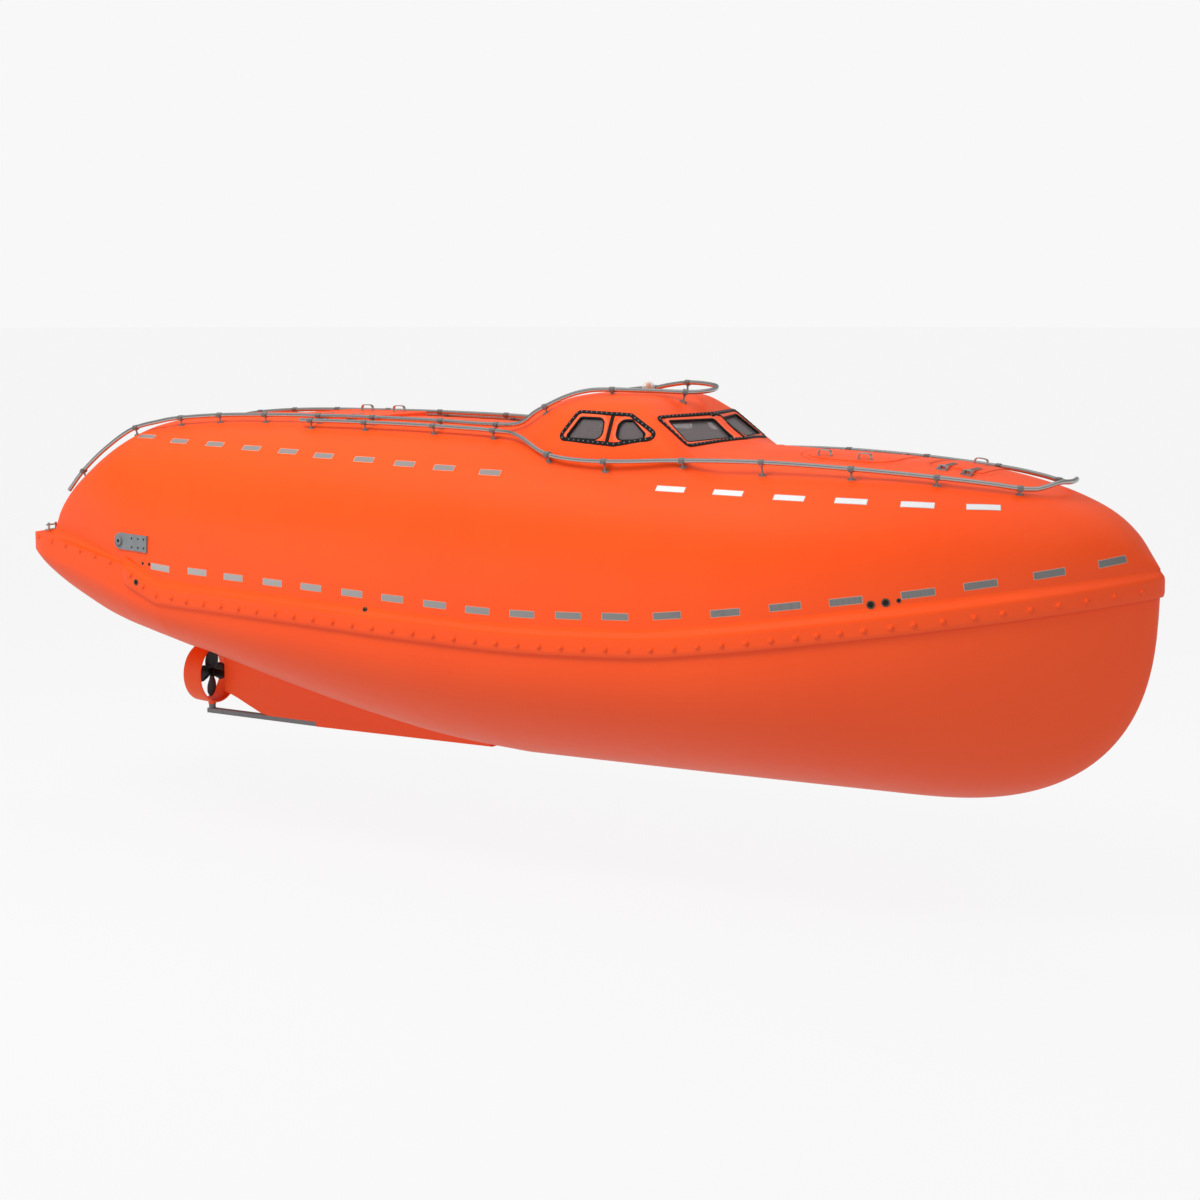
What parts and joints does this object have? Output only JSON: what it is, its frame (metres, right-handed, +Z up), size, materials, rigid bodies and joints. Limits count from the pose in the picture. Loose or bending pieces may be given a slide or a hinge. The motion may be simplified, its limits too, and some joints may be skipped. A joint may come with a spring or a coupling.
{
  "type": "enclosed free-fall lifeboat",
  "caption": "Enclosed lifeboat with raised wheelhouse, opening hatches and stern door, grab rails, gunwale fender, skeg, turning propeller and steering nozzle",
  "frame": {"origin": "amidships on the centreline, at the loaded waterline, 0.95 m above the keel", "axes": "+X to the bow, +Y to port, +Z up"},
  "size_m": [13.5073, 3.57, 4.1834],
  "materials": {
    "orange_gelcoat": "glossy orange gelcoat",
    "stainless_steel": "polished",
    "painted_grey_steel": "satin grey paint",
    "black_rubber": "matt",
    "clear_acrylic": "clear",
    "grey_interior": "matt grey",
    "black_bronze": "black antifouling paint on bronze"
  },
  "bodies": {
    "boat": {"lower_hull": "orange_gelcoat", "canopy": "orange_gelcoat", "gunwale_fender": "orange_gelcoat", "skeg": "orange_gelcoat", "sole_bar": "painted_grey_steel", "aft_hatch_hinge_0": "stainless_steel", "aft_hatch_hinge_1": "stainless_steel", "fore_hatch_hinge_0": "stainless_steel", "fore_hatch_hinge_1": "stainless_steel", "bow_hatch_hinge_0": "stainless_steel", "bow_hatch_hinge_1": "stainless_steel", "stern_door_hinge_0": "stainless_steel", "stern_door_hinge_1": "stainless_steel", "deck_rail": "stainless_steel", "roof_rail": "stainless_steel", "short_rail": "stainless_steel", "window_frame_side_starboard": "black_rubber", "window_frame_side_port": "black_rubber", "window_frame_shield_starboard": "black_rubber", "window_frame_shield_port": "black_rubber", "window_frame_rear": "black_rubber", "window_glass_side_starboard_aft": "clear_acrylic", "window_glass_side_starboard_fore": "clear_acrylic", "window_glass_side_port_aft": "clear_acrylic", "window_glass_side_port_fore": "clear_acrylic", "window_glass_shield_starboard": "clear_acrylic", "window_glass_shield_port": "clear_acrylic", "window_glass_rear": "clear_acrylic", "lamp_base": "black_rubber", "lamp_dome": "clear_acrylic", "lifting_plate_starboard": "painted_grey_steel", "lifting_plate_port": "painted_grey_steel", "stern_bollard_starboard": "stainless_steel", "stern_bollard_port": "stainless_steel", "cabin_deck": "grey_interior", "engine_block": "painted_grey_steel", "helm_platform": "grey_interior", "helm_seat": "black_rubber", "helm_console": "grey_interior"},
    "screw": {"propeller": "black_bronze", "propeller_shaft": "stainless_steel"},
    "nozzle": {"steering_nozzle": "orange_gelcoat"},
    "aft_lid": {"aft_hatch": "orange_gelcoat"},
    "fore_lid": {"fore_hatch": "orange_gelcoat"},
    "bow_lid": {"bow_hatch": "orange_gelcoat"},
    "door": {"stern_door": "orange_gelcoat"}
  },
  "joints": [
    {"name": "propeller_turn", "type": "hinge", "parent": "boat", "child": "screw", "pos_m": [-4.995, 0, -0.433], "axis": [1, 0, 0], "continuous": true},
    {"name": "nozzle_steer", "type": "hinge", "parent": "boat", "child": "nozzle", "pos_m": [-4.995, 0, -0.433], "axis": [0, 0, 1], "range_deg": [-35, 35]},
    {"name": "aft_hatch_hinge", "type": "hinge", "parent": "boat", "child": "aft_lid", "pos_m": [-2.65, -0.53, 2.75063], "axis": [1, 0, 0], "range_deg": [0, 100]},
    {"name": "fore_hatch_hinge", "type": "hinge", "parent": "boat", "child": "fore_lid", "pos_m": [3.60869, 0.622, 2.49537], "axis": [-0.999, 0, 0.045], "range_deg": [0, 100]},
    {"name": "bow_hatch_hinge", "type": "hinge", "parent": "boat", "child": "bow_lid", "pos_m": [4.75895, -0.422, 2.44208], "axis": [0.9896, 0, -0.1441], "range_deg": [0, 100]},
    {"name": "stern_door_hinge", "type": "hinge", "parent": "boat", "child": "door", "pos_m": [-5.99531, 0.382, 2.16831], "axis": [-0.7672, 0, -0.6414], "range_deg": [0, 100]}
  ]
}
